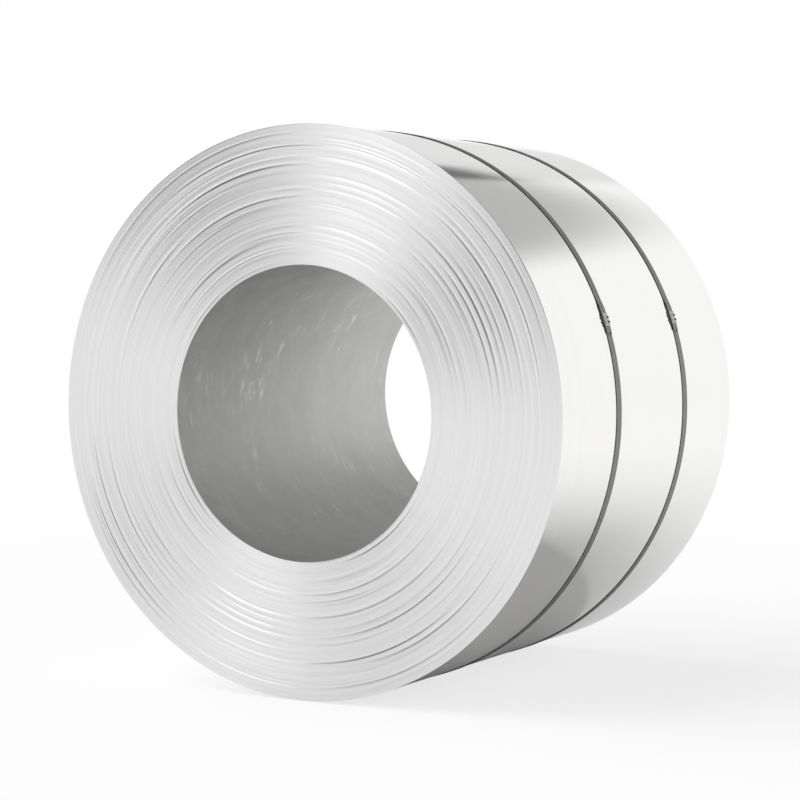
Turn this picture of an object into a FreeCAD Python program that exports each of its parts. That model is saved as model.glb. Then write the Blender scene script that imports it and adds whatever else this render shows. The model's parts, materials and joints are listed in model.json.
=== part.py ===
"""A strapped coil of aluminium foil stock, lying on its side.

The foil is wound tight on a mandrel that has been drawn out, so the coil is one
turned solid with an open bore. Two flat steel straps hold the last turn down.
Each strap is closed by a notched sheet steel seal.

Frame, in millimetres: +Z up, the coil's axis along Y, the origin on the floor
under the middle of the coil. The front end faces -Y.
"""

import FreeCAD
import Part

import math
import os

# Coil
BORE_DIAMETER = 508.0  # a 20 inch mandrel
OUTER_DIAMETER = 985.0
STRIP_WIDTH = 745.0
EDGE_ROUND = 1.5  # the rims are soft where the first and the last turn bend over

# Bands of turns that stand back from the flat ends
BANDS = 12
BAND_WIDTH = 2.4
BAND_DEPTH = 1.2
BAND_WANDER = 0.5  # how unevenly the bands are spread, as a share of their spacing
GOLDEN = (math.sqrt(5.0) - 1.0) / 2.0  # spreads uneven values evenly

# Straps
STRAP_WIDTH = 19.0
STRAP_THICKNESS = 1.2
STRAP_SPACING = 295.0  # middle to middle, even about the coil's mid width
JOINT_ANGLE = 19.0  # degrees above level, on the +X side
LAP_LENGTH = 46.0  # how far the strap's two ends lie on each other
RAMP_LENGTH = 14.0  # how far the strap takes to climb on to its other end

# Seals
SEAL_LENGTH = 23.0
SEAL_THICKNESS = 1.0
NOTCHES = 2  # along each edge of a seal
NOTCH_LENGTH = 3.6
NOTCH_DEPTH = 4.2
NOTCH_SPACING = 8.4

BORE_RADIUS = BORE_DIAMETER / 2.0
OUTER_RADIUS = OUTER_DIAMETER / 2.0
STRAP_RADIUS = OUTER_RADIUS + STRAP_THICKNESS
LAP_RADIUS = STRAP_RADIUS + STRAP_THICKNESS
SEAL_RADIUS = LAP_RADIUS + SEAL_THICKNESS
AXIS_HEIGHT = STRAP_RADIUS  # the straps touch the floor and carry the coil
STRAPS = {"front": -STRAP_SPACING / 2.0, "rear": STRAP_SPACING / 2.0}

ALONG_AXIS = FreeCAD.Vector(0, 1, 0)
AXIS_POINT = FreeCAD.Vector(0, 0, AXIS_HEIGHT)


def uneven(index):
    """A value from 0 to 1 that looks random and is the same each run."""
    return (index * GOLDEN) % 1.0


def on_circle(radius, degrees, y=0.0):
    """A point at that angle round the coil's axis, counted up from +X."""
    turn = math.radians(degrees)
    return FreeCAD.Vector(
        radius * math.cos(turn), y, AXIS_HEIGHT + radius * math.sin(turn)
    )


def arc_degrees(length, radius):
    return math.degrees(length / radius)


def end_bands(first):
    """(inner radius, outer radius, depth) of each band, from the bore outwards."""
    pitch = (OUTER_RADIUS - BORE_RADIUS) / BANDS
    found = []
    for i in range(BANDS):
        shift = BAND_WANDER * (uneven(first + i) - 0.5)
        middle = BORE_RADIUS + pitch * (i + 0.5 + shift)
        width = BAND_WIDTH * (0.6 + 0.8 * uneven(first + 3 * i))
        depth = BAND_DEPTH * (0.4 + 0.6 * uneven(first + 5 * i))
        found.append((middle - width / 2.0, middle + width / 2.0, depth))
    return found


def end_outline(side, first):
    """Points (radius, y) of one end from the bore's rim to the outer rim."""
    face = side * STRIP_WIDTH / 2.0
    points = [(BORE_RADIUS + EDGE_ROUND, face)]
    for inner, outer, depth in end_bands(first):
        low = face - side * depth
        points += [(inner, face), (inner, low), (outer, low), (outer, face)]
    points.append((OUTER_RADIUS - EDGE_ROUND, face))
    return points


def rim(radius, side, inward):
    """The quarter round between an end and a wall, from the end to the wall."""
    face = side * STRIP_WIDTH / 2.0
    centre_r = radius + inward * EDGE_ROUND
    centre_y = face - side * EDGE_ROUND
    slant = EDGE_ROUND * math.sqrt(0.5)
    start = (centre_r, face)
    middle = (centre_r - inward * slant, centre_y + side * slant)
    end = (radius, centre_y)
    return start, middle, end


def coil():
    """The turned coil: bore, outer wrap, and ends with their bands of turns."""

    def place(point):
        return FreeCAD.Vector(point[0], point[1], AXIS_HEIGHT)

    def run(points):
        return [
            Part.makeLine(place(a), place(b)) for a, b in zip(points, points[1:])
        ]

    def bend(points):
        return [Part.Arc(*(place(p) for p in points)).toShape()]

    front = end_outline(-1, 1)
    rear = end_outline(1, 8)
    outer_front = rim(OUTER_RADIUS, -1, -1)
    outer_rear = rim(OUTER_RADIUS, 1, -1)
    bore_front = rim(BORE_RADIUS, -1, 1)
    bore_rear = rim(BORE_RADIUS, 1, 1)
    edges = run(front)
    edges += bend(outer_front)
    edges += run([outer_front[-1], outer_rear[-1]])
    edges += bend(outer_rear[::-1])
    edges += run(rear[::-1])
    edges += bend(bore_rear)
    edges += run([bore_rear[-1], bore_front[-1]])
    edges += bend(bore_front[::-1])
    profile = Part.Face(Part.Wire(edges))
    return profile.revolve(AXIS_POINT, ALONG_AXIS, 360.0)


def band_outline(y):
    """The outside of a strap: once round, with a step up over its lapped ends."""
    half_lap = arc_degrees(LAP_LENGTH / 2.0, LAP_RADIUS)
    ramp = arc_degrees(RAMP_LENGTH, LAP_RADIUS)
    free_end = JOINT_ANGLE - half_lap
    lap_top = JOINT_ANGLE + half_lap
    ramp_foot = lap_top + ramp
    far_side = (ramp_foot + free_end + 360.0) / 2.0
    lap = Part.Arc(
        on_circle(LAP_RADIUS, free_end, y),
        on_circle(LAP_RADIUS, JOINT_ANGLE, y),
        on_circle(LAP_RADIUS, lap_top, y),
    )
    round_the_coil = Part.Arc(
        on_circle(STRAP_RADIUS, ramp_foot, y),
        on_circle(STRAP_RADIUS, far_side, y),
        on_circle(STRAP_RADIUS, free_end, y),
    )
    return Part.Wire(
        [
            lap.toShape(),
            Part.makeLine(
                on_circle(LAP_RADIUS, lap_top, y),
                on_circle(STRAP_RADIUS, ramp_foot, y),
            ),
            round_the_coil.toShape(),
            Part.makeLine(
                on_circle(STRAP_RADIUS, free_end, y),
                on_circle(LAP_RADIUS, free_end, y),
            ),
        ]
    )


def notches(middle):
    """The cuts that crimp a seal on to its strap, along both of their edges."""
    foot = OUTER_RADIUS - SEAL_THICKNESS
    tall = SEAL_RADIUS + SEAL_THICKNESS - foot
    reach = NOTCH_DEPTH + 2.0 * SEAL_THICKNESS
    half_width = STRAP_WIDTH / 2.0
    cuts = []
    for i in range(NOTCHES):
        along = (i - (NOTCHES - 1) / 2.0) * NOTCH_SPACING
        for low_y in (-half_width - 2.0 * SEAL_THICKNESS, half_width - NOTCH_DEPTH):
            cut = Part.makeBox(
                tall,
                reach,
                NOTCH_LENGTH,
                FreeCAD.Vector(foot, middle + low_y, AXIS_HEIGHT - NOTCH_LENGTH / 2.0),
            )
            turn = JOINT_ANGLE + arc_degrees(along, LAP_RADIUS)
            cut.rotate(AXIS_POINT, ALONG_AXIS, -turn)
            cuts.append(cut)
    return cuts


def strap(middle):
    """A flat steel band drawn tight round the coil, with its ends lapped."""
    low_y = middle - STRAP_WIDTH / 2.0
    inside = Part.Wire(
        Part.makeCircle(
            OUTER_RADIUS, FreeCAD.Vector(0, low_y, AXIS_HEIGHT), ALONG_AXIS
        )
    )
    outside = Part.Face(band_outline(low_y))
    ring = outside.cut(Part.Face(inside)).Faces[0]
    band = ring.extrude(FreeCAD.Vector(0, STRAP_WIDTH, 0))
    return band.cut(notches(middle)).Solids[0]


def seal(middle):
    """A sheet steel sleeve folded over the lap and notched on to it."""
    inside = STRAP_WIDTH / 2.0
    outside = inside + SEAL_THICKNESS
    section = [
        (OUTER_RADIUS, -outside),
        (SEAL_RADIUS, -outside),
        (SEAL_RADIUS, outside),
        (OUTER_RADIUS, outside),
        (OUTER_RADIUS, inside),
        (LAP_RADIUS, inside),
        (LAP_RADIUS, -inside),
        (OUTER_RADIUS, -inside),
    ]
    sweep = arc_degrees(SEAL_LENGTH, LAP_RADIUS)
    low_end = JOINT_ANGLE - sweep / 2.0
    corners = [on_circle(radius, low_end, middle + y) for radius, y in section]
    outline = Part.makePolygon(corners + corners[:1])
    sleeve = Part.Face(outline).revolve(AXIS_POINT, ALONG_AXIS, -sweep)
    return sleeve.cut(notches(middle)).Solids[0]


def save(shape, name):
    shape.exportStep(os.path.join("parts", name + ".step"))


os.makedirs("parts", exist_ok=True)
save(coil(), "coil")
for end, middle in STRAPS.items():
    save(strap(middle), "strap_" + end)
    save(seal(middle), "seal_" + end)
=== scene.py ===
"""Looks of a strapped coil of aluminium foil stock.

A wound coil with ringed ends, a bright outer wrap and a dull bore is made by a
Geometry Nodes tree, and so are the two lapped steel straps. Each strap is held
by a notched seal of folded sheet steel. Sizes are in metres.
"""

import json
import math

import bmesh
import bpy
from bpy.props import (
    FloatProperty,
    FloatVectorProperty,
    IntProperty,
    PointerProperty,
)
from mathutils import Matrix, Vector


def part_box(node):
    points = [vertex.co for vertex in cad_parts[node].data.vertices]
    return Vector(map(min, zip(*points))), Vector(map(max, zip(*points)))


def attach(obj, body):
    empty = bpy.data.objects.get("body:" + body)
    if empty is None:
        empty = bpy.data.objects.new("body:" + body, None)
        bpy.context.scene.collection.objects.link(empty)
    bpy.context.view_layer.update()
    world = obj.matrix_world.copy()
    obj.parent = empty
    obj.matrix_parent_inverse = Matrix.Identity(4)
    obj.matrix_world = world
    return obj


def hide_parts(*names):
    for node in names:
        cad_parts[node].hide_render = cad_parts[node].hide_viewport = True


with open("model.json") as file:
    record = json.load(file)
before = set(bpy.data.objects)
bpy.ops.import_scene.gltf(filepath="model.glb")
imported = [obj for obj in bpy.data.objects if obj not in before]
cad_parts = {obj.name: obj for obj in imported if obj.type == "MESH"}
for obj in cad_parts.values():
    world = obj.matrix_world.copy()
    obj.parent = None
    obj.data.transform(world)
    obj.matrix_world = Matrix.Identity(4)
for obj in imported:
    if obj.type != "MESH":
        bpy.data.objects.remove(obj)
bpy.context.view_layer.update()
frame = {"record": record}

bl_info = {
    "name": "Strapped foil coil",
    "version": (1, 0, 0),
    "blender": (4, 5, 0),
    "location": "3D View > Sidebar > Foil coil",
    "description": "Builds a strapped coil of aluminium foil stock and its studio",
    "category": "Add Mesh",
}

# ---------------------------------------------------------------- frame sizes

COIL_LOW, COIL_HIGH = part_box("coil")
OUTER_RADIUS = (COIL_HIGH.x - COIL_LOW.x) / 2.0
STRIP_WIDTH = COIL_HIGH.y - COIL_LOW.y
AXIS_HEIGHT = (COIL_HIGH.z + COIL_LOW.z) / 2.0
BORE = next(m for m in frame["record"]["mounts"] if m["name"] == "bore")
BORE_RADIUS = BORE["dims"]["r_mm"] / 1000.0

STRAPS = {"strap_front": "front_strap", "strap_rear": "rear_strap"}
SEALS = {"seal_front": "front_seal", "seal_rear": "rear_seal"}

MILLIMETRE = 0.001
FULL_TURN = 2.0 * math.pi
QUARTER_TURN = math.pi / 2.0


def middle_y(node):
    """The middle of a node's width, along the coil's axis."""
    low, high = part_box(node)
    return (low.y + high.y) / 2.0


def width_of(node):
    """A node's width, along the coil's axis."""
    low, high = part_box(node)
    return high.y - low.y


STRAP_WIDTH = width_of("strap_front")
STRAP_THICKNESS = AXIS_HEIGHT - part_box("strap_front")[0].z - OUTER_RADIUS
SEAL_WIDTH = width_of("seal_front")
SEAL_THICKNESS = (SEAL_WIDTH - STRAP_WIDTH) / 2.0
LAP_RADIUS = OUTER_RADIUS + 2.0 * STRAP_THICKNESS

# The joint where a strap's two ends lie on each other, under the seal
JOINT_ANGLE = math.radians(19.0)  # above level, on the +X side
LAP_LENGTH = 46.0 * MILLIMETRE
RAMP_LENGTH = 14.0 * MILLIMETRE
SEAL_LENGTH = 23.0 * MILLIMETRE
NOTCH_LENGTH = 3.6 * MILLIMETRE
NOTCH_DEPTH = 4.2 * MILLIMETRE
NOTCH_PLACE = 4.2 * MILLIMETRE  # a notch's middle, either way from the joint's


# ------------------------------------------------------------------ node trees


class Net:
    """Adds nodes to a tree and links them, so that a formula reads in order."""

    def __init__(self, tree):
        self.tree = tree

    def node(self, kind, *values, **settings):
        """A node with its settings made and its inputs filled in order."""
        made = self.tree.nodes.new(kind)
        names = settings.pop("named", {})
        for name, value in settings.items():
            setattr(made, name, value)
        live = [s for s in made.inputs if s.enabled and not s.is_unavailable]
        for socket, value in zip(live, values):
            self.fill(socket, value)
        for name, value in names.items():
            self.fill(next(s for s in live if s.name == name), value)
        return made

    def fill(self, socket, value):
        """Links a socket to another, or sets its value. None leaves it alone."""
        if isinstance(value, bpy.types.NodeSocket):
            self.tree.links.new(value, socket)
        elif value is not None:
            socket.default_value = value

    def out(self, kind, *values, **settings):
        """The first live output of a new node."""
        made = self.node(kind, *values, **settings)
        return next(s for s in made.outputs if s.enabled and not s.is_unavailable)

    def math(self, operation, *values):
        return self.out("ShaderNodeMath", *values, operation=operation)

    def add(self, a, b):
        return self.math("ADD", a, b)

    def sub(self, a, b):
        return self.math("SUBTRACT", a, b)

    def mul(self, a, b, *more):
        product = self.math("MULTIPLY", a, b)
        for factor in more:
            product = self.math("MULTIPLY", product, factor)
        return product

    def div(self, a, b):
        return self.math("DIVIDE", a, b)

    def clamp(self, value, low, high):
        return self.math("MINIMUM", self.math("MAXIMUM", value, low), high)

    def above(self, a, b):
        """1 where a is over b, and 0 elsewhere."""
        return self.math("GREATER_THAN", a, b)

    def below(self, a, b):
        return self.math("LESS_THAN", a, b)

    def blend(self, share, a, b):
        """a where share is 0, b where it is 1."""
        return self.out("ShaderNodeMix", share, a, b, data_type="FLOAT")

    def colour(self, share, a, b):
        return self.out("ShaderNodeMix", share, a, b, data_type="RGBA")

    def ramp(self, value, low, high, start=0.0, end=1.0):
        """A smooth rise from start to end as value goes from low to high."""
        return self.out(
            "ShaderNodeMapRange",
            value,
            low,
            high,
            start,
            end,
            interpolation_type="SMOOTHSTEP",
        )

    def xyz(self, x, y, z):
        return self.out("ShaderNodeCombineXYZ", x, y, z)

    def split(self, vector):
        return self.node("ShaderNodeSeparateXYZ", vector).outputs

    def noise(self, vector, scale=1.0, detail=2.0, rough=0.5, warp=0.0):
        """Cloudy values from 0 to 1, mostly near a half."""
        made = self.node(
            "ShaderNodeTexNoise",
            named={
                "Vector": vector,
                "Scale": scale,
                "Detail": detail,
                "Roughness": rough,
                "Distortion": warp,
            },
            noise_dimensions="3D",
        )
        return made.outputs[0]


def new_group(name, kind, inputs, outputs):
    """A node group with named sockets, and its Net, inputs and output node."""
    tree = bpy.data.node_groups.new(name, kind)
    for side, sockets in (("INPUT", inputs), ("OUTPUT", outputs)):
        for label, socket_type, default in sockets:
            made = tree.interface.new_socket(
                name=label, in_out=side, socket_type="NodeSocket" + socket_type
            )
            if default is not None:
                made.default_value = default
    net = Net(tree)
    given = tree.nodes.new("NodeGroupInput").outputs
    return net, given, tree.nodes.new("NodeGroupOutput")


def place_group(net, group, values):
    """Puts a group in a tree with its named values, and gives its outputs."""
    kind = (
        "GeometryNodeGroup" if group.bl_idname == "GeometryNodeTree" else "ShaderNodeGroup"
    )
    made = net.tree.nodes.new(kind)
    made.node_tree = group
    for name, value in values.items():
        net.fill(made.inputs[name], value)
    return made.outputs


def link(piece):
    bpy.context.scene.collection.objects.link(piece)
    return piece


def grown(name, tree, values):
    """A plain mesh object grown by a geometry tree with these named values."""
    seed_mesh = bpy.data.meshes.new(name + "_start")
    maker = link(bpy.data.objects.new(name + "_maker", seed_mesh))
    modifier = maker.modifiers.new("Grow", "NODES")
    modifier.node_group = tree
    sockets = {
        item.name: item.identifier
        for item in tree.interface.items_tree
        if item.item_type == "SOCKET" and item.in_out == "INPUT"
    }
    for label, value in values.items():
        modifier[sockets[label]] = value
    depsgraph = bpy.context.evaluated_depsgraph_get()
    mesh = bpy.data.meshes.new_from_object(maker.evaluated_get(depsgraph))
    mesh.name = name
    bpy.data.objects.remove(maker)
    bpy.data.meshes.remove(seed_mesh)
    for helper in (PART_OF_COIL,):
        if helper in mesh.attributes:
            mesh.attributes.remove(mesh.attributes[helper])
    return link(bpy.data.objects.new(name, mesh))


# ------------------------------------------------------------- the wound coil

PART_OF_COIL = "part_of_coil"  # on faces: 0 wound end, 1 outer wrap, 2 bore
RING_TONE = "ring_tone"  # on points: how one group of turns differs from the next
UV_NAME = "UVMap"
WELD = 0.02 * MILLIMETRE
CREASE = math.radians(30.0)  # sharper folds than this are edges


def round_the_coil(net, position, segments):
    """The angle of a sheet's point round the coil's axis, counted up from +X."""
    column = net.math("ROUND", net.mul(net.add(position[1], 0.5), segments))
    return net.mul(net.div(column, segments), FULL_TURN)


def sheet(net, rows, columns):
    """A flat sheet of points, to be bent into a part of the coil or a strap."""
    grid = net.node("GeometryNodeMeshGrid", 1.0, 1.0, rows, columns)
    return net.out(
        "GeometryNodeStoreNamedAttribute",
        named={"Geometry": grid.outputs[0], "Name": UV_NAME, "Value": grid.outputs[1]},
        data_type="FLOAT2",
        domain="CORNER",
    )


def stored(net, mesh, name, value, kind, domain):
    return net.out(
        "GeometryNodeStoreNamedAttribute",
        named={"Geometry": mesh, "Name": name, "Value": value},
        data_type=kind,
        domain=domain,
    )


def chance(net, identity, seed, shift):
    """A value from 0 to 1 for each ring."""
    return net.out(
        "FunctionNodeRandomValue",
        named={"Min": 0.0, "Max": 1.0, "ID": identity, "Seed": net.add(seed, shift)},
        data_type="FLOAT",
    )


def wound_end_group():
    """A ringed end of the coil, facing -Y, made of flats that step in and out."""
    net, given, result = new_group(
        "Wound end",
        "GeometryNodeTree",
        [
            ("Bore Radius", "Float", 0.25),
            ("Outer Radius", "Float", 0.5),
            ("Rim Round", "Float", 0.0006),
            ("Rim Rows", "Int", 3),
            ("Rings", "Int", 80),
            ("Segments", "Int", 256),
            ("Ring Depth", "Float", 0.001),
            ("Ring Lean", "Float", 0.0003),
            ("Ring Step", "Float", 0.0004),
            ("Ring Wander", "Float", 0.7),
            ("Seed", "Int", 1),
        ],
        [("Mesh", "Geometry", None)],
    )
    rim, rim_rows = given["Rim Round"], given["Rim Rows"]
    rings, seed = given["Rings"], given["Seed"]
    bands = net.mul(rings, 2.0)
    rows = net.add(bands, net.mul(rim_rows, 2.0))
    mesh = sheet(net, rows, net.add(given["Segments"], 1.0))
    at = net.split(net.out("GeometryNodeInputPosition"))
    angle = round_the_coil(net, at, given["Segments"])
    row = net.math("ROUND", net.mul(net.add(at[0], 0.5), net.sub(rows, 1.0)))

    # Each ring has an inner row and an outer row.
    band = net.clamp(net.sub(row, rim_rows), 0.0, net.sub(bands, 1.0))
    ring = net.math("FLOOR", net.add(net.mul(band, 0.5), 0.01))
    outer_side = net.sub(band, net.mul(ring, 2.0))
    edge = net.add(ring, outer_side)
    loose = net.mul(net.above(edge, 0.5), net.below(edge, net.sub(rings, 0.5)))
    wander = net.mul(
        net.sub(chance(net, edge, seed, 11), 0.5), given["Ring Wander"], loose
    )
    inner = net.add(given["Bore Radius"], rim)
    outer = net.sub(given["Outer Radius"], rim)
    flat_radius = net.blend(net.div(net.add(edge, wander), rings), inner, outer)
    half_step = net.mul(net.sub(0.5, outer_side), given["Ring Step"], loose)
    radius = net.add(flat_radius, half_step)

    # A ring's depth and lean change slowly round the coil.
    slow = net.xyz(
        net.mul(net.math("COSINE", angle), 1.1),
        net.mul(net.math("SINE", angle), 1.1),
        net.add(net.mul(ring, 3.7), net.mul(seed, 31.0)),
    )
    swell = net.noise(slow, 1.0, 1.0)
    tilt = net.noise(slow, 1.6, 2.0)
    tied = net.mul(net.above(ring, 0.5), net.below(ring, net.sub(rings, 1.5)))
    depth = net.mul(
        net.math("POWER", chance(net, ring, seed, 23), 4.0),
        net.mul(net.ramp(swell, 0.35, 0.7), 1.6),
        given["Ring Depth"],
    )
    lean = net.mul(
        net.sub(chance(net, ring, seed, 37), 0.5),
        net.mul(tilt, 4.0),
        given["Ring Lean"],
        net.sub(outer_side, 0.5),
    )
    sunk = net.mul(net.math("MAXIMUM", net.add(depth, lean), 0.0), tied)

    # The first and the last turn bend over the rims.
    last_band = net.add(rim_rows, net.sub(bands, 1.0))
    bend_in = net.mul(
        net.math("MAXIMUM", net.div(net.sub(rim_rows, row), rim_rows), 0.0), QUARTER_TURN
    )
    bend_out = net.mul(
        net.math("MAXIMUM", net.div(net.sub(row, last_band), rim_rows), 0.0), QUARTER_TURN
    )
    reach = net.mul(
        rim, net.sub(net.math("SINE", bend_out), net.math("SINE", bend_in))
    )
    fall = net.mul(
        rim,
        net.sub(2.0, net.add(net.math("COSINE", bend_out), net.math("COSINE", bend_in))),
    )
    full_radius = net.add(radius, reach)
    bent = net.xyz(
        net.mul(net.math("COSINE", angle), full_radius),
        net.add(sunk, fall),
        net.mul(net.math("SINE", angle), full_radius),
    )
    tone = net.mul(chance(net, ring, seed, 53), net.add(net.mul(swell, 0.8), 0.6))
    mesh = stored(net, mesh, RING_TONE, tone, "FLOAT", "POINT")
    mesh = stored(net, mesh, PART_OF_COIL, 0, "INT", "FACE")
    moved = net.out("GeometryNodeSetPosition", named={"Geometry": mesh, "Position": bent})
    net.fill(result.inputs["Mesh"], moved)
    return net.tree


def rolled_wall_group():
    """A round wall of rolled strip, the outer wrap or the bore."""
    net, given, result = new_group(
        "Rolled wall",
        "GeometryNodeTree",
        [
            ("Radius", "Float", 0.5),
            ("Width", "Float", 0.7),
            ("Rows", "Int", 12),
            ("Edge Rows", "Float", MILLIMETRE),
            ("Segments", "Int", 256),
            ("Facing", "Float", 1.0),
            ("Part", "Int", 1),
        ],
        [("Mesh", "Geometry", None)],
    )
    mesh = sheet(net, given["Rows"], net.add(given["Segments"], 1.0))
    at = net.split(net.out("GeometryNodeInputPosition"))
    angle = round_the_coil(net, at, given["Segments"])
    # A row close to each edge keeps the wall straight up to its rims.
    last = net.sub(given["Rows"], 1.0)
    row = net.math("ROUND", net.mul(net.add(at[0], 0.5), last))
    inner = net.clamp(net.div(net.sub(row, 1.0), net.sub(last, 2.0)), 0.0, 1.0)
    straight = net.sub(given["Width"], net.mul(given["Edge Rows"], 2.0))
    at_edge = net.sub(net.above(row, net.sub(last, 0.5)), net.below(row, 0.5))
    place = net.add(
        net.mul(net.sub(inner, 0.5), straight), net.mul(at_edge, given["Edge Rows"])
    )
    along = net.mul(place, given["Facing"])
    bent = net.xyz(
        net.mul(net.math("COSINE", angle), given["Radius"]),
        along,
        net.mul(net.math("SINE", angle), given["Radius"]),
    )
    mesh = stored(net, mesh, RING_TONE, 0.5, "FLOAT", "POINT")
    mesh = stored(net, mesh, PART_OF_COIL, given["Part"], "INT", "FACE")
    moved = net.out("GeometryNodeSetPosition", named={"Geometry": mesh, "Position": bent})
    net.fill(result.inputs["Mesh"], moved)
    return net.tree


def coil_tree():
    """Two wound ends, the wrap and the bore, welded into one closed coil."""
    net, given, result = new_group(
        "Wound coil",
        "GeometryNodeTree",
        [
            ("Bore Radius", "Float", 0.25),
            ("Outer Radius", "Float", 0.5),
            ("Strip Width", "Float", 0.7),
            ("Axis Height", "Float", 0.5),
            ("Rim Round", "Float", 0.0006),
            ("Rings", "Int", 80),
            ("Segments", "Int", 256),
            ("Ring Depth", "Float", 0.001),
            ("Ring Lean", "Float", 0.0003),
            ("Ring Step", "Float", 0.0004),
            ("Ring Wander", "Float", 0.7),
            ("Seed", "Int", 1),
            ("End Finish", "Material", None),
            ("Wrap Finish", "Material", None),
            ("Bore Finish", "Material", None),
        ],
        [("Mesh", "Geometry", None)],
    )
    end_group, wall_group = wound_end_group(), rolled_wall_group()
    shared = (
        "Bore Radius",
        "Outer Radius",
        "Rim Round",
        "Rings",
        "Segments",
        "Ring Depth",
        "Ring Lean",
        "Ring Step",
        "Ring Wander",
    )
    half_width = net.mul(given["Strip Width"], 0.5)
    half_turn = math.pi
    sheets = []
    for side, turn, seed_shift in ((-1.0, 0.0, 0), (1.0, half_turn, 7)):
        values = {name: given[name] for name in shared}
        values["Seed"] = net.add(given["Seed"], seed_shift)
        end = place_group(net, end_group, values)["Mesh"]
        place = net.xyz(0.0, net.mul(half_width, side), 0.0)
        sheets.append(
            net.out(
                "GeometryNodeTransform",
                named={
                    "Geometry": end,
                    "Translation": place,
                    "Rotation": (0.0, 0.0, turn),
                },
            )
        )
    wall_width = net.sub(given["Strip Width"], net.mul(given["Rim Round"], 2.0))
    for radius, facing, part in (("Outer Radius", 1.0, 1), ("Bore Radius", -1.0, 2)):
        values = {
            "Radius": given[radius],
            "Width": wall_width,
            "Segments": given["Segments"],
            "Facing": facing,
            "Part": part,
        }
        sheets.append(place_group(net, wall_group, values)["Mesh"])
    joined = net.node("GeometryNodeJoinGeometry")
    for mesh in sheets:
        net.tree.links.new(mesh, joined.inputs[0])
    mesh = joined.outputs[0]
    welded = net.out(
        "GeometryNodeMergeByDistance", named={"Geometry": mesh, "Distance": WELD}
    )
    upright = net.out(
        "GeometryNodeTransform",
        named={
            "Geometry": welded,
            "Translation": net.xyz(0.0, 0.0, given["Axis Height"]),
        },
    )
    smooth = net.out("GeometryNodeSetShadeSmooth", named={"Geometry": upright})
    done = net.out("GeometryNodeRealizeInstances", named={"Geometry": smooth})
    part = net.out(
        "GeometryNodeInputNamedAttribute", named={"Name": PART_OF_COIL}, data_type="INT"
    )
    for number, finish in ((0, "End Finish"), (1, "Wrap Finish"), (2, "Bore Finish")):
        chosen = net.out(
            "FunctionNodeCompare", part, number, data_type="INT", operation="EQUAL"
        )
        done = net.out(
            "GeometryNodeSetMaterial",
            named={"Geometry": done, "Selection": chosen, "Material": given[finish]},
        )
    net.fill(result.inputs["Mesh"], done)
    return net.tree


# ----------------------------------------------------------------- the straps

BAND_CORNERS = 8  # a flat band's section is a rectangle with its corners cut


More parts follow.
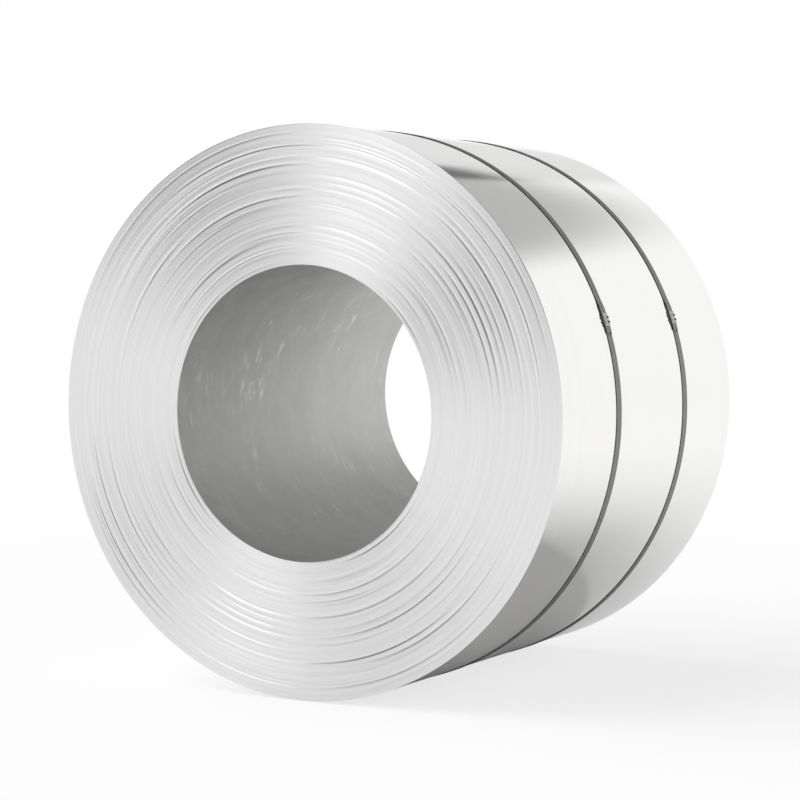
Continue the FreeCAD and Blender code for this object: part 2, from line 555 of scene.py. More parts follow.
def steel_band_tree():
    """A flat band drawn round the coil, whose first end lies on its last."""
    net, given, result = new_group(
        "Steel band",
        "GeometryNodeTree",
        [
            ("Coil Radius", "Float", 0.5),
            ("Axis Height", "Float", 0.5),
            ("Middle", "Float", 0.0),
            ("Width", "Float", 0.019),
            ("Thickness", "Float", 0.0012),
            ("Corner Cut", "Float", 0.0003),
            ("Joint Angle", "Float", 0.3),
            ("Lap", "Float", 0.09),
            ("Ramp", "Float", 0.03),
            ("Lap Rows", "Int", 38),
            ("Ramp Rows", "Int", 5),
            ("Round Rows", "Int", 240),
            ("Notch Place", "Float", 0.0085),
            ("Notch Reach", "Float", 0.0037),
            ("Notch Depth", "Float", 0.0042),
            ("Finish", "Material", None),
        ],
        [("Mesh", "Geometry", None)],
    )
    lap_rows, ramp_rows, round_rows = (
        given[name] for name in ("Lap Rows", "Ramp Rows", "Round Rows")
    )
    down = net.add(lap_rows, ramp_rows)
    under = net.add(down, round_rows)
    last = net.add(under, lap_rows)
    # One more row at each end closes it.
    rows = net.add(last, 3.0)
    mesh = sheet(net, BAND_CORNERS + 1, rows)
    at = net.split(net.out("GeometryNodeInputPosition"))
    corner = net.math("ROUND", net.mul(net.add(at[0], 0.5), float(BAND_CORNERS)))
    count = net.math("ROUND", net.mul(net.add(at[1], 0.5), net.sub(rows, 1.0)))
    row = net.sub(count, 1.0)
    inside = net.mul(net.above(row, -0.5), net.below(row, net.add(last, 0.5)))

    def share(first, length):
        return net.clamp(net.div(net.sub(row, first), length), 0.0, 1.0)

    whole_round = net.sub(FULL_TURN, net.add(given["Lap"], given["Ramp"]))
    along = net.add(
        net.add(
            net.mul(given["Lap"], share(0.0, lap_rows)),
            net.mul(given["Ramp"], share(lap_rows, ramp_rows)),
        ),
        net.add(
            net.mul(whole_round, share(down, round_rows)),
            net.mul(given["Lap"], share(under, lap_rows)),
        ),
    )
    from_joint = net.sub(along, net.mul(given["Lap"], 0.5))
    lift = net.mul(given["Thickness"], net.sub(1.0, share(lap_rows, ramp_rows)))

    # Both layers are nicked where the seal is notched.
    nearest = net.math("WRAP", from_joint, math.pi, -math.pi)
    off_notch = net.math(
        "ABSOLUTE", net.sub(net.math("ABSOLUTE", nearest), given["Notch Place"])
    )
    nick = net.mul(net.below(off_notch, given["Notch Reach"]), given["Notch Depth"])

    turn = net.mul(net.add(corner, 0.5), FULL_TURN / BAND_CORNERS)
    level, plumb = net.math("COSINE", turn), net.math("SINE", turn)
    wide, tall = net.math("ABSOLUTE", level), net.math("ABSOLUTE", plumb)
    half_width = net.sub(net.mul(given["Width"], 0.5), nick)
    across = net.mul(
        net.math("SIGN", level),
        net.sub(half_width, net.mul(given["Corner Cut"], net.below(wide, tall))),
        inside,
    )
    half_thick = net.mul(given["Thickness"], 0.5)
    up = net.mul(
        net.math("SIGN", plumb),
        net.sub(half_thick, net.mul(given["Corner Cut"], net.below(tall, wide))),
        inside,
    )
    radius = net.add(net.add(given["Coil Radius"], half_thick), net.add(up, lift))
    angle = net.add(given["Joint Angle"], from_joint)
    bent = net.xyz(
        net.mul(net.math("COSINE", angle), radius),
        net.add(given["Middle"], across),
        net.add(given["Axis Height"], net.mul(net.math("SINE", angle), radius)),
    )
    moved = net.out("GeometryNodeSetPosition", named={"Geometry": mesh, "Position": bent})
    welded = net.out(
        "GeometryNodeMergeByDistance", named={"Geometry": moved, "Distance": WELD}
    )
    smooth = net.out("GeometryNodeSetShadeSmooth", named={"Geometry": welded})
    fold = net.node("GeometryNodeInputMeshEdgeAngle").outputs[0]
    creased = net.out(
        "GeometryNodeSetShadeSmooth",
        named={
            "Geometry": smooth,
            "Selection": net.above(fold, CREASE),
            "Shade Smooth": False,
        },
        domain="EDGE",
    )
    done = net.out("GeometryNodeRealizeInstances", named={"Geometry": creased})
    finished = net.out(
        "GeometryNodeSetMaterial",
        named={"Geometry": done, "Material": given["Finish"]},
    )
    net.fill(result.inputs["Mesh"], finished)
    return net.tree


# ------------------------------------------------------------------ the seals

SEAL_BEND = 1.4 * MILLIMETRE  # outside radius of a seal's folds
TAB_TURN = math.radians(26.0)  # how far a notch's tab is turned out


def stations(stops, pitch):
    """Places from the first stop to the last, no more than a pitch apart."""
    found = [stops[0]]
    for start, end in zip(stops, stops[1:]):
        steps = max(1, math.ceil((end - start) / pitch))
        found += [start + (end - start) * (i + 1) / steps for i in range(steps)]
    return found


def seal_section():
    """(across, up) points of the outside of a seal, from one leg to the other."""
    half = SEAL_WIDTH / 2.0
    top = 2.0 * STRAP_THICKNESS + SEAL_THICKNESS
    leg = [(half, up) for up in stations([0.0, top - SEAL_BEND], MILLIMETRE)]
    bend = []
    steps = 5
    for i in range(1, steps + 1):
        turn = QUARTER_TURN * i / steps
        bend.append(
            (
                half - SEAL_BEND + SEAL_BEND * math.cos(turn),
                top - SEAL_BEND + SEAL_BEND * math.sin(turn),
            )
        )
    cut = STRAP_WIDTH / 2.0 - NOTCH_DEPTH
    right = leg + bend + [(cut, top)]
    left = [(-across, up) for across, up in right]
    flat = [(across, top) for across in stations([-cut, cut], 2.0 * MILLIMETRE)]
    return left + flat[1:-1] + right[::-1]


def seal_mesh(name, middle):
    """A sheet steel sleeve over the lap, with its notches' tabs turned out."""
    reach, half = NOTCH_LENGTH / 2.0, SEAL_LENGTH / 2.0
    stops = [-half, -NOTCH_PLACE - reach, -NOTCH_PLACE + reach]
    stops += [-stop for stop in stops[::-1]]
    rows = stations(stops, 1.2 * MILLIMETRE)
    section = seal_section()
    bm = bmesh.new()
    grid = [[bm.verts.new((along, *point)) for point in section] for along in rows]
    cut = STRAP_WIDTH / 2.0 - NOTCH_DEPTH
    tabs = {}
    for i in range(len(rows) - 1):
        along = (rows[i] + rows[i + 1]) / 2.0
        notched = abs(abs(along) - NOTCH_PLACE) < reach
        for j in range(len(section) - 1):
            corners = (grid[i][j], grid[i][j + 1], grid[i + 1][j + 1], grid[i + 1][j])
            face = bm.faces.new(corners)
            face.smooth = True
            across = face.calc_center_median().y
            if notched and abs(across) > cut:
                tabs.setdefault((along > 0.0, across > 0.0), []).append(face)
    for (_, right), faces in tabs.items():
        side = 1.0 if right else -1.0
        freed = bmesh.ops.split(bm, geom=faces)["geom"]
        hinge = Vector((0.0, side * SEAL_WIDTH / 2.0, 0.0))
        for vert in (part for part in freed if isinstance(part, bmesh.types.BMVert)):
            away = vert.co - hinge
            across = away.y * math.cos(TAB_TURN) + side * away.z * math.sin(TAB_TURN)
            up = away.z * math.cos(TAB_TURN) - side * away.y * math.sin(TAB_TURN)
            squeeze = 1.0 - 0.04 * up / SEAL_BEND
            vert.co = Vector((vert.co.x, hinge.y + across, up))
            centre = NOTCH_PLACE if vert.co.x > 0.0 else -NOTCH_PLACE
            vert.co.x = centre + (vert.co.x - centre) * squeeze
    for vert in bm.verts:
        along, across, up = vert.co
        angle = JOINT_ANGLE + along / LAP_RADIUS
        radius = OUTER_RADIUS + up
        vert.co = (
            radius * math.cos(angle),
            middle + across,
            AXIS_HEIGHT + radius * math.sin(angle),
        )
    mesh = bpy.data.meshes.new(name)
    bm.to_mesh(mesh)
    bm.free()
    piece = link(bpy.data.objects.new(name, mesh))
    sheet_wall = piece.modifiers.new("Sheet", "SOLIDIFY")
    sheet_wall.thickness = SEAL_THICKNESS * 0.96
    sheet_wall.offset = -1.0
    sheet_wall.use_even_offset = True
    edges = piece.modifiers.new("Edges", "BEVEL")
    edges.width = 0.16 * MILLIMETRE
    edges.segments = 2
    edges.limit_method = "ANGLE"
    edges.angle_limit = CREASE
    edges.harden_normals = True
    return piece


# ------------------------------------------------------------------- finishes


def new_material(name):
    material = bpy.data.materials.new(name)
    material.use_nodes = True
    material.node_tree.nodes.clear()
    net = Net(material.node_tree)
    shader = net.node("ShaderNodeBsdfPrincipled")
    surface = net.node("ShaderNodeOutputMaterial")
    material.node_tree.links.new(shader.outputs[0], surface.inputs["Surface"])
    return material, net, shader


def rolling_lines_group():
    """Streaks that run round the coil, as the rolls leave on a strip."""
    net, given, result = new_group(
        "Rolling lines",
        "ShaderNodeTree",
        [
            ("Vector", "Vector", None),
            ("Lines per Metre", "Float", 900.0),
            ("Run per Metre", "Float", 3.0),
            ("Breaks", "Float", 0.5),
        ],
        [("Lines", "Float", None), ("Broad", "Float", None)],
    )
    at = net.split(given["Vector"])
    run = given["Run per Metre"]
    place = net.xyz(
        net.mul(at[0], run), net.mul(at[1], given["Lines per Metre"]), net.mul(at[2], run)
    )
    fine = net.noise(place, 1.0, 3.0, 0.6)
    broad_place = net.xyz(
        net.mul(at[0], run, 0.4),
        net.mul(at[1], given["Lines per Metre"], 0.06),
        net.mul(at[2], run, 0.4),
    )
    broad = net.noise(broad_place, 1.0, 3.0, 0.5)
    patchy = net.ramp(net.noise(given["Vector"], 9.0, 2.0), 0.35, 0.65)
    weight = net.blend(patchy, net.sub(1.0, given["Breaks"]), 1.0)
    net.fill(result.inputs["Lines"], net.add(0.5, net.mul(net.sub(fine, 0.5), weight)))
    net.fill(result.inputs["Broad"], broad)
    return net.tree


def handling_marks_group():
    """Short pale scuffs round the coil, and the blotches that hands and oil leave."""
    net, given, result = new_group(
        "Handling marks",
        "ShaderNodeTree",
        [
            ("Vector", "Vector", None),
            ("Scuffs per Metre", "Float", 60.0),
            ("Blotches per Metre", "Float", 8.0),
            ("Amount", "Float", 0.5),
        ],
        [("Scuffs", "Float", None), ("Blotches", "Float", None)],
    )
    at = net.split(given["Vector"])
    often = given["Scuffs per Metre"]
    drawn_out = net.mul(often, 0.32)
    place = net.xyz(
        net.mul(at[0], drawn_out), net.mul(at[1], often), net.mul(at[2], drawn_out)
    )
    spots = net.noise(place, 1.0, 4.0, 0.65, 0.6)
    edge = net.sub(0.76, net.mul(given["Amount"], 0.22))
    scuffs = net.ramp(spots, edge, net.add(edge, 0.16))
    shy = net.ramp(net.noise(given["Vector"], 5.0, 2.0), 0.4, 0.62)
    net.fill(result.inputs["Scuffs"], net.mul(scuffs, shy))
    cloud = net.noise(given["Vector"], given["Blotches per Metre"], 4.0, 0.55, 0.4)
    net.fill(result.inputs["Blotches"], net.ramp(cloud, 0.3, 0.7))
    return net.tree


def edge_wear_group():
    """1 along the edges of sheet steel where its coat is rubbed off."""
    net, given, result = new_group(
        "Edge wear",
        "ShaderNodeTree",
        [
            ("Vector", "Vector", None),
            ("Reach", "Float", 0.0008),
            ("Chips per Metre", "Float", 300.0),
        ],
        [("Wear", "Float", None)],
    )
    rounded = net.node("ShaderNodeBevel", given["Reach"], samples=4).outputs[0]
    true_normal = net.node("ShaderNodeNewGeometry").outputs["Normal"]
    facing = net.node("ShaderNodeVectorMath", rounded, true_normal, operation="DOT_PRODUCT")
    bend = net.ramp(facing.outputs["Value"], 0.995, 0.86)
    chips = net.noise(given["Vector"], given["Chips per Metre"], 3.0, 0.6)
    net.fill(result.inputs["Wear"], net.mul(bend, net.ramp(chips, 0.32, 0.6)))
    return net.tree


def effect(name, maker):
    """A shared effect's group, built the first time that it is asked for."""
    return bpy.data.node_groups.get(name) or maker()


def place_effect(net, name, maker, **values):
    named = {key.replace("_", " "): value for key, value in values.items()}
    return place_group(net, effect(name, maker), named)


def opaque(colour, shade=1.0):
    return tuple(channel * shade for channel in colour) + (1.0,)


def in_the_coil(net):
    """Object coordinates, and the distance from the coil's axis."""
    vector = net.node("ShaderNodeTexCoord").outputs["Object"]
    at = net.split(vector)
    height = net.sub(at[2], AXIS_HEIGHT)
    square = net.add(net.mul(at[0], at[0]), net.mul(height, height))
    return vector, net.math("SQRT", square)


def relief(net, shader, height, distance):
    bump = net.node(
        "ShaderNodeBump", named={"Strength": 1.0, "Distance": distance, "Height": height}
    )
    net.fill(shader.inputs["Normal"], bump.outputs[0])


def wound_end_finish(finish):
    """Slit edges of the turns: bright, and dragged across the turns."""
    material, net, shader = new_material("Wound end aluminium")
    tone = net.node("ShaderNodeAttribute", attribute_name=RING_TONE).outputs["Fac"]
    vector, radius = in_the_coil(net)
    # Turns are never quite round, so their lines drift against the rings.
    drift = net.mul(net.sub(net.noise(vector, 2.2, 1.0), 0.5), 0.006)
    turns = net.mul(net.add(radius, drift), finish.turns_per_metre)
    slow = net.noise(vector, 6.0, 1.0)
    fine = net.noise(net.xyz(turns, net.mul(slow, 2.0), 0.0), 1.0, 1.0, 0.6)
    darker = net.ramp(net.noise(net.xyz(net.mul(turns, 0.23), 5.0, 0.0)), 0.3, 0.7)
    level = net.add(0.93, net.add(net.mul(tone, 0.045), net.mul(darker, 0.03)))
    colour = net.colour(level, opaque(finish.end_colour, 0.0), opaque(finish.end_colour))
    net.fill(shader.inputs["Base Color"], colour)
    shader.inputs["Metallic"].default_value = 1.0
    net.fill(
        shader.inputs["Roughness"],
        net.add(finish.end_roughness - 0.02, net.mul(fine, 0.04)),
    )
    shader.inputs["Anisotropic"].default_value = finish.end_anisotropy
    tangent = net.out("ShaderNodeTangent", direction_type="UV_MAP", uv_map=UV_NAME)
    net.fill(shader.inputs["Tangent"], tangent)
    relief(net, shader, fine, finish.turn_relief)
    return material


def wrap_finish(finish):
    """The bright rolled side of the last turn."""
    material, net, shader = new_material("Bright wrap aluminium")
    vector, _ = in_the_coil(net)
    lines = place_effect(
        net,
        "Rolling lines",
        rolling_lines_group,
        Vector=vector,
        Lines_per_Metre=700.0,
        Run_per_Metre=1.2,
        Breaks=0.6,
    )
    marks = place_effect(
        net,
        "Handling marks",
        handling_marks_group,
        Vector=vector,
        Scuffs_per_Metre=26.0,
        Blotches_per_Metre=5.0,
        Amount=0.25,
    )
    shade = net.add(0.975, net.mul(lines["Broad"], 0.05))
    shade = net.sub(shade, net.mul(marks["Scuffs"], 0.03))
    colour = net.colour(shade, opaque(finish.wrap_colour, 0.0), opaque(finish.wrap_colour))
    net.fill(shader.inputs["Base Color"], colour)
    shader.inputs["Metallic"].default_value = 1.0
    rough = net.add(
        finish.wrap_roughness - 0.015,
        net.add(net.mul(marks["Blotches"], 0.02), net.mul(marks["Scuffs"], 0.05)),
    )
    net.fill(shader.inputs["Roughness"], rough)
    relief(net, shader, lines["Lines"], 0.0012 * MILLIMETRE)
    return material


def bore_finish(finish):
    """The first turn, dulled and scuffed by the mandrel."""
    material, net, shader = new_material("Dull bore aluminium")
    vector, _ = in_the_coil(net)
    lines = place_effect(
        net,
        "Rolling lines",
        rolling_lines_group,
        Vector=vector,
        Lines_per_Metre=260.0,
        Run_per_Metre=5.0,
        Breaks=0.7,
    )
    marks = place_effect(
        net,
        "Handling marks",
        handling_marks_group,
        Vector=vector,
        Scuffs_per_Metre=75.0,
        Blotches_per_Metre=14.0,
        Amount=1.0,
    )
    shade = net.add(0.77, net.mul(marks["Blotches"], 0.12))
    shade = net.add(shade, net.mul(net.sub(lines["Lines"], 0.5), 0.08))
    shade = net.add(shade, net.mul(net.sub(lines["Broad"], 0.5), 0.1))
    shade = net.add(shade, net.mul(marks["Scuffs"], 0.16))
    shade = net.clamp(shade, 0.0, 1.0)
    colour = net.colour(shade, opaque(finish.bore_colour, 0.0), opaque(finish.bore_colour))
    net.fill(shader.inputs["Base Color"], colour)
    shader.inputs["Metallic"].default_value = 1.0
    rough = net.add(
        finish.bore_roughness,
        net.sub(net.mul(marks["Blotches"], 0.08), net.mul(marks["Scuffs"], 0.12)),
    )
    net.fill(shader.inputs["Roughness"], rough)
    relief(net, shader, lines["Lines"], 0.02 * MILLIMETRE)
    return material


def sheet_steel_finish(name, colour, worn, roughness, spangle):
    """Coated sheet steel that is rubbed bright along its edges, with painted shade on its
    sides.
    """
    material, net, shader = new_material(name)
    vector, _ = in_the_coil(net)
    lines = place_effect(
        net,
        "Rolling lines",
        rolling_lines_group,
        Vector=vector,
        Lines_per_Metre=1800.0,
        Run_per_Metre=14.0,
        Breaks=0.5,
    )
    marks = place_effect(
        net,
        "Handling marks",
        handling_marks_group,
        Vector=vector,
        Scuffs_per_Metre=220.0,
        Blotches_per_Metre=45.0,
        Amount=0.5,
    )
    wear = place_effect(
        net, "Edge wear", edge_wear_group, Vector=vector, Reach=0.7 * MILLIMETRE
    )["Wear"]
    crystals = net.node(
        "ShaderNodeTexVoronoi", named={"Vector": vector, "Scale": SPANGLES_PER_METRE}
    )
    tint = net.split(crystals.outputs["Color"])[0]
    shade = net.add(0.72, net.mul(marks["Blotches"], 0.16))
    shade = net.add(shade, net.mul(net.sub(lines["Lines"], 0.5), 0.3))
    shade = net.add(shade, net.mul(net.sub(tint, 0.5), spangle))
    shade = net.clamp(shade, 0.0, 1.0)
    # Painted shade: faces that look along the coil's axis, which are the strap's sides and
    # the seal's legs, are darkened.
    facing = net.split(net.node("ShaderNodeNewGeometry").outputs["True Normal"])[1]
    painted_side_shade = net.ramp(net.math("ABSOLUTE", facing), 0.5, 0.9)
    shade = net.mul(shade, net.sub(1.0, net.mul(painted_side_shade, 0.7)))
    # The coat's colour, with the painted shade on the sides in it.
    coat = net.colour(shade, opaque(colour, 0.0), opaque(colour))
    bare = net.math("MAXIMUM", net.mul(wear, 0.5), net.mul(marks["Scuffs"], 0.6))
    net.fill(shader.inputs["Base Color"], net.colour(bare, coat, opaque(worn)))
    shader.inputs["Metallic"].default_value = 1.0
    rough = net.sub(
        net.add(roughness, net.mul(marks["Blotches"], 0.08)), net.mul(bare, 0.1)
    )
    net.fill(shader.inputs["Roughness"], rough)
    relief(net, shader, lines["Lines"], 0.012 * MILLIMETRE)
    return material


SPANGLES_PER_METRE = 420.0


def strap_finish(finish):
    return sheet_steel_finish(
        "Dark strap steel", finish.strap_colour, finish.worn_colour, 0.42, 0.06
    )


def seal_finish(finish):
    return sheet_steel_finish(
        "Galvanised seal steel", finish.seal_colour, finish.worn_colour, 0.34, 0.3
    )


# ----------------------------------------------------------------- properties


class FOILCOIL_CoilSizes(bpy.types.PropertyGroup):
    """Sizes of the wound coil."""

    bore_radius: FloatProperty(
        name="Bore radius",
        description="Radius of the hole left by the mandrel",
        default=BORE_RADIUS,
        min=0.01,
        unit="LENGTH",
    )
    outer_radius: FloatProperty(
        name="Outer radius",
        description="Radius of the outer wrap",
        default=OUTER_RADIUS,
        min=0.02,
        unit="LENGTH",
    )
    strip_width: FloatProperty(
        name="Strip width",
        description="Width of the wound strip, which is the coil's length",
        default=STRIP_WIDTH,
        min=0.01,
        unit="LENGTH",
    )
    rings: IntProperty(
        name="Rings",
        description="Groups of turns that show on each end",
        default=80,
        min=8,
        max=90,
    )
    ring_depth: FloatProperty(
        name="Ring depth",
        description="How far the deepest groups of turns stand back",
        default=0.0003,
        unit="LENGTH",
        precision=5,
    )
    ring_lean: FloatProperty(
        name="Ring lean",
        description="How far a group of turns leans across its own width",
        default=0.00008,
        unit="LENGTH",
        precision=5,
    )
    seed: IntProperty(
        name="Seed", description="Picks another set of rings", default=4, min=0
    )


class FOILCOIL_StrapSizes(bpy.types.PropertyGroup):
    """Sizes of the steel straps."""

    width: FloatProperty(
        name="Width",
        description="Width of the strapping",
        default=STRAP_WIDTH,
        min=0.001,
        unit="LENGTH",
    )
    thickness: FloatProperty(
        name="Thickness",
        description="Thickness of the strapping",
        default=STRAP_THICKNESS,
        min=0.0001,
        unit="LENGTH",
        precision=5,
    )


class FOILCOIL_Finish(bpy.types.PropertyGroup):
    """Colours and gloss of the metals."""

    end_colour: FloatVectorProperty(
        name="End colour",
        description="Colour of the cut edges of the turns",
        subtype="COLOR",
        default=(0.86, 0.86, 0.86),
        min=0.0,
        max=1.0,
    )
    end_roughness: FloatProperty(
        name="End roughness",
        description="Roughness of the wound ends",
        default=0.32,
        subtype="FACTOR",
        min=0.0,
        max=1.0,
    )
    end_anisotropy: FloatProperty(
        name="End drag",
        description="How far highlights are dragged across the turns",
        default=0.8,
        subtype="FACTOR",
        min=0.0,
        max=1.0,
    )
    turns_per_metre: FloatProperty(
        name="Turns to a metre",
        description="How close the lines of the single turns lie",
        default=420.0,
    )
    turn_relief: FloatProperty(
        name="Turn relief",
        description="Relief of the single turns within a ring",
        default=0.00003,
        unit="LENGTH",
        precision=6,
    )
    wrap_colour: FloatVectorProperty(
        name="Wrap colour",
        description="Colour of the outer wrap",
        subtype="COLOR",
        default=(0.915, 0.91, 0.9),
        min=0.0,
        max=1.0,
    )
    wrap_roughness: FloatProperty(
        name="Wrap roughness",
        description="Roughness of the outer wrap",
        default=0.1,
        subtype="FACTOR",
        min=0.0,
        max=1.0,
    )
    bore_colour: FloatVectorProperty(
        name="Bore colour",
        description="Colour of the first turn, inside the bore",
        subtype="COLOR",
        default=(0.74, 0.74, 0.725),
        min=0.0,
        max=1.0,
    )
    bore_roughness: FloatProperty(
        name="Bore roughness",
        description="Roughness of the bore",
        default=0.5,
        subtype="FACTOR",
        min=0.0,
        max=1.0,
    )
    strap_colour: FloatVectorProperty(
        name="Strap colour",
        description="Colour of the waxed strapping",
        subtype="COLOR",
        default=(0.29, 0.29, 0.285),
        min=0.0,
        max=1.0,
    )
    seal_colour: FloatVectorProperty(
        name="Seal colour",
        description="Colour of the zinc on the seals",
        subtype="COLOR",
        default=(0.52, 0.53, 0.52),
        min=0.0,
        max=1.0,
    )
    worn_colour: FloatVectorProperty(
        name="Worn colour",
        description="Colour of steel where its coat is rubbed off",
        subtype="COLOR",
        default=(0.6, 0.6, 0.59),
        min=0.0,
        max=1.0,
    )


class FOILCOIL_Stage(bpy.types.PropertyGroup):
    """Camera and studio."""

    view_turn: FloatProperty(
        name="View turn",
        description="How far round the camera stands from the coil's axis",
        default=math.radians(29.08),
        subtype="ANGLE",
    )
    view_rise: FloatProperty(
        name="View rise",
        description="How far the camera looks down",
        default=math.radians(2.96),
        subtype="ANGLE",
    )
    lens: FloatProperty(
        name="Lens",
        description="Focal length on a 36 mm sensor",
        default=101.5,
        subtype="DISTANCE_CAMERA",
    )
    key_strength: FloatProperty(
        name="Key strength",
        description="Strength of the soft key light",
        default=2.7,
    )
    floor_colour: FloatVectorProperty(
        name="Floor colour",
        description="Colour of the studio floor",
        subtype="COLOR",
        default=(0.88, 0.88, 0.88),
        min=0.0,
        max=1.0,
    )


# ------------------------------------------------------------------ operators


class FOILCOIL_OT_coil(bpy.types.Operator):
    """Build the wound coil"""

    bl_idname = "foilcoil.coil"
    bl_label = "Wound coil"

    def execute(self, context):
        sizes = context.scene.foilcoil_sizes
        finish = context.scene.foilcoil_finish
        piece = grown(
            "wound_coil",
            coil_tree(),
            {
                "Bore Radius": sizes.bore_radius,
                "Outer Radius": sizes.outer_radius,
                "Strip Width": sizes.strip_width,
                "Axis Height": AXIS_HEIGHT,
                "Rings": sizes.rings,
                "Ring Depth": sizes.ring_depth,
                "Ring Lean": sizes.ring_lean,
                "Seed": sizes.seed,
                "End Finish": wound_end_finish(finish),
                "Wrap Finish": wrap_finish(finish),
                "Bore Finish": bore_finish(finish),
            },
        )
        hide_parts("coil")
        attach(piece, "root")
        return {"FINISHED"}


class FOILCOIL_OT_straps(bpy.types.Operator):
    """Build the two steel straps"""

    bl_idname = "foilcoil.straps"
    bl_label = "Straps"

    def execute(self, context):
        sizes = context.scene.foilcoil_straps
        finish = strap_finish(context.scene.foilcoil_finish)
        tree = steel_band_tree()
        for node, name in STRAPS.items():
            piece = grown(
                name,
                tree,
                {
                    "Coil Radius": OUTER_RADIUS,
                    "Axis Height": AXIS_HEIGHT,
                    "Middle": middle_y(node),
                    "Width": sizes.width,
                    "Thickness": sizes.thickness,
                    "Joint Angle": JOINT_ANGLE,
                    "Lap": LAP_LENGTH / LAP_RADIUS,
                    "Ramp": RAMP_LENGTH / LAP_RADIUS,
                    "Notch Place": NOTCH_PLACE / LAP_RADIUS,
                    "Notch Reach": (NOTCH_LENGTH / 2.0 + WELD) / LAP_RADIUS,
                    "Notch Depth": NOTCH_DEPTH,
                    "Finish": finish,
                },
            )
            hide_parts(node)
            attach(piece, "root")
        return {"FINISHED"}


class FOILCOIL_OT_seals(bpy.types.Operator):
    """Build the two notched seals"""

    bl_idname = "foilcoil.seals"
    bl_label = "Seals"

    def execute(self, context):
        finish = seal_finish(context.scene.foilcoil_finish)
        for node, name in SEALS.items():
            piece = seal_mesh(name, middle_y(node))
            piece.data.materials.append(finish)
            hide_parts(node)
            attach(piece, "root")
        return {"FINISHED"}


# ---------------------------------------------------------------------- stage

KEY_FROM = Vector((-0.8, -0.35, 0.85))
KEY_SPREAD = math.radians(65.0)
BACKDROP_START = 0.6  # metres from the object where the floor starts to whiten
BACKDROP_END = 3.0
SHADOW_FADE = 0.75  # how far the white backdrop shows through the floor's shadow
CAMERA_PLACE = Vector((4.093, -6.648, 0.451))  # outer radii from the front end


def panel_group():
    """How much of a soft panel lies in a direction of the studio."""
    net, given, result = new_group(
        "Soft panel",
        "ShaderNodeTree",
        [
            ("Turn", "Float", 0.0),
            ("Rise", "Float", 0.0),
            ("Middle Turn", "Float", 0.0),
            ("Middle Rise", "Float", 0.0),
            ("Half Width", "Float", 0.3),
            ("Half Height", "Float", 0.3),
            ("Soft Edge", "Float", 0.05),
        ],
        [("Share", "Float", None)],
    )
    aside = net.math(
        "WRAP", net.sub(given["Turn"], given["Middle Turn"]), math.pi, -math.pi
    )
    beside = net.math("ABSOLUTE", aside)
    over = net.math("ABSOLUTE", net.sub(given["Rise"], given["Middle Rise"]))
    shares = []
    for gap, half in ((beside, given["Half Width"]), (over, given["Half Height"])):
        out = net.add(half, given["Soft Edge"])
        within = net.sub(half, given["Soft Edge"])
        shares.append(net.ramp(gap, out, within))
    net.fill(result.inputs["Share"], net.mul(*shares))
    return net.tree


# (turn, rise, half width, half height, soft edge, brightness), angles in degrees
PANELS = (
    (0.0, 60.0, 180.0, 36.5, 2.0, 0.5),  # ceiling
    (-48.0, 17.0, 35.5, 8.0, 2.0, 0.8),  # left wall behind
    (0.0, 90.0, 180.0, 48.0, 6.0, 0.25),  # dark above the lamps
    (-13.4, 25.1, 2.2, 1.3, 0.8, 0.05),  # gap over the left wall
    (-184.0, 16.5, 28.0, 11.5, 3.0, 0.01),  # flag in front
    (-121.0, 27.0, 24.0, 16.0, 4.0, 0.01),  # flag on the left
    (-140.0, 9.0, 6.0, 5.0, 3.0, 0.01),  # its near corner
    (-157.0, 44.0, 11.0, 31.0, 4.0, 1.9),  # soft box in front
)


def studio_world():
    world = bpy.data.worlds.new("Studio")
    world.use_nodes = True
    world.node_tree.nodes.clear()
    net = Net(world.node_tree)
    at = net.split(net.node("ShaderNodeTexCoord").outputs["Generated"])
    turn = net.math("ARCTAN2", at[0], at[1])
    rise = net.math("ARCSINE", at[2])
    group = panel_group()
    level = 1.0
    for middle_turn, middle_rise, width, height, edge, brightness in PANELS:
        share = place_group(
            net,
            group,
            {
                "Turn": turn,
                "Rise": rise,
                "Middle Turn": math.radians(middle_turn),
                "Middle Rise": math.radians(middle_rise),
                "Half Width": math.radians(width) + (10.0 if width >= 180.0 else 0.0),
                "Half Height": math.radians(height),
                "Soft Edge": math.radians(edge),
            },
        )["Share"]
        level = net.blend(share, level, brightness)
    background = net.node("ShaderNodeBackground", named={"Strength": level})
    background.inputs["Color"].default_value = (1.0, 1.0, 1.0, 1.0)
    surface = net.node("ShaderNodeOutputWorld")
    net.fill(surface.inputs["Surface"], background.outputs[0])
    bpy.context.scene.world = world


def floor_finish(stage):
    """A matt floor that turns into the white backdrop away from the object."""
    material, net, shader = new_material("Studio floor")
    shader.inputs["Base Color"].default_value = opaque(stage.floor_colour)
    shader.inputs["Roughness"].default_value = 1.0
    shader.inputs["Specular IOR Level"].default_value = 0.0
    vector = net.node("ShaderNodeTexCoord").outputs["Object"]
    away = net.node("ShaderNodeVectorMath", vector, operation="LENGTH").outputs["Value"]
    path = net.node("ShaderNodeLightPath").outputs
    seen = net.math(
        "MAXIMUM",
        path["Is Camera Ray"],
        net.math("MAXIMUM", path["Is Glossy Ray"], path["Is Transmission Ray"]),
    )
    far = net.ramp(away, BACKDROP_START, BACKDROP_END)
    near = net.mul(path["Is Camera Ray"], SHADOW_FADE)
    share = net.math("MAXIMUM", near, net.mul(seen, far))
    white = net.node("ShaderNodeEmission", opaque((1.0, 1.0, 1.0)), 1.0)
    both = net.node("ShaderNodeMixShader", share, shader.outputs[0], white.outputs[0])
    surface = next(n for n in net.tree.nodes if n.bl_idname == "ShaderNodeOutputMaterial")
    net.fill(surface.inputs["Surface"], both.outputs[0])
    return material


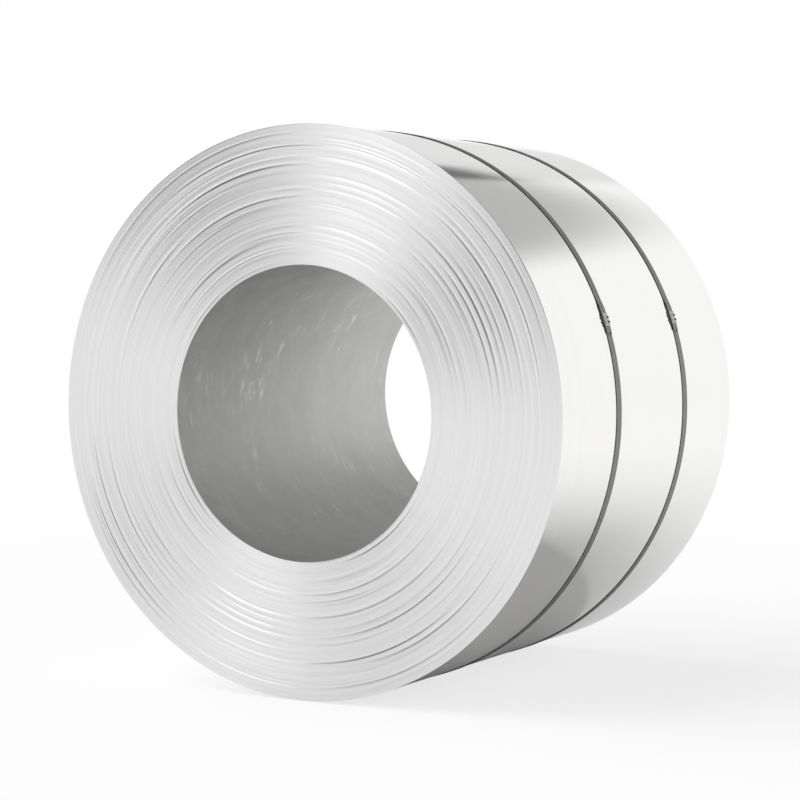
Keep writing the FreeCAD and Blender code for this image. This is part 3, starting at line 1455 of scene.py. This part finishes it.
class FOILCOIL_OT_stage(bpy.types.Operator):
    """Build the floor, the light and the camera"""

    bl_idname = "foilcoil.stage"
    bl_label = "Stage"

    def execute(self, context):
        stage = context.scene.foilcoil_stage
        bm = bmesh.new()
        bmesh.ops.create_circle(bm, cap_ends=True, segments=96, radius=40.0)
        mesh = bpy.data.meshes.new("floor")
        bm.to_mesh(mesh)
        bm.free()
        floor = bpy.data.objects.new("floor", mesh)
        context.scene.collection.objects.link(floor)
        mesh.materials.append(floor_finish(stage))
        studio_world()

        lamp = bpy.data.lights.new("Key", "SUN")
        lamp.angle = KEY_SPREAD
        lamp.energy = stage.key_strength
        key = bpy.data.objects.new("Key", lamp)
        key.rotation_euler = KEY_FROM.to_track_quat("Z", "Y").to_euler()
        key.visible_glossy = False
        context.scene.collection.objects.link(key)

        camera = bpy.data.cameras.new("Camera")
        camera.lens = stage.lens
        camera.sensor_width = 36.0
        camera.clip_end = 200.0
        eye = bpy.data.objects.new("Camera", camera)
        front_end = Vector((0.0, -STRIP_WIDTH / 2.0, AXIS_HEIGHT))
        eye.location = front_end + CAMERA_PLACE * OUTER_RADIUS
        eye.rotation_euler = (math.pi / 2.0 - stage.view_rise, 0.0, stage.view_turn)
        context.scene.collection.objects.link(eye)
        context.scene.camera = eye
        context.scene.view_settings.view_transform = "Standard"
        return {"FINISHED"}


class FOILCOIL_PT_panel(bpy.types.Panel):
    """Lists the pieces of the coil"""

    bl_idname = "FOILCOIL_PT_panel"
    bl_label = "Foil coil"
    bl_space_type = "VIEW_3D"
    bl_region_type = "UI"
    bl_category = "Foil coil"

    def draw(self, context):
        for operator in OPERATORS:
            self.layout.operator(operator.bl_idname)


OPERATORS = (
    FOILCOIL_OT_coil,
    FOILCOIL_OT_straps,
    FOILCOIL_OT_seals,
    FOILCOIL_OT_stage,
)
SETTINGS = {
    "foilcoil_sizes": FOILCOIL_CoilSizes,
    "foilcoil_straps": FOILCOIL_StrapSizes,
    "foilcoil_finish": FOILCOIL_Finish,
    "foilcoil_stage": FOILCOIL_Stage,
}


def register():
    for made in (*SETTINGS.values(), *OPERATORS, FOILCOIL_PT_panel):
        bpy.utils.register_class(made)
    for name, group in SETTINGS.items():
        setattr(bpy.types.Scene, name, PointerProperty(type=group))


def unregister():
    for name in SETTINGS:
        delattr(bpy.types.Scene, name)
    for made in (FOILCOIL_PT_panel, *OPERATORS[::-1], *SETTINGS.values()):
        bpy.utils.unregister_class(made)


def main():
    register()
    bpy.ops.foilcoil.coil()
    bpy.ops.foilcoil.straps()
    bpy.ops.foilcoil.seals()
    bpy.ops.foilcoil.stage()


if __name__ == "__main__":
    main()
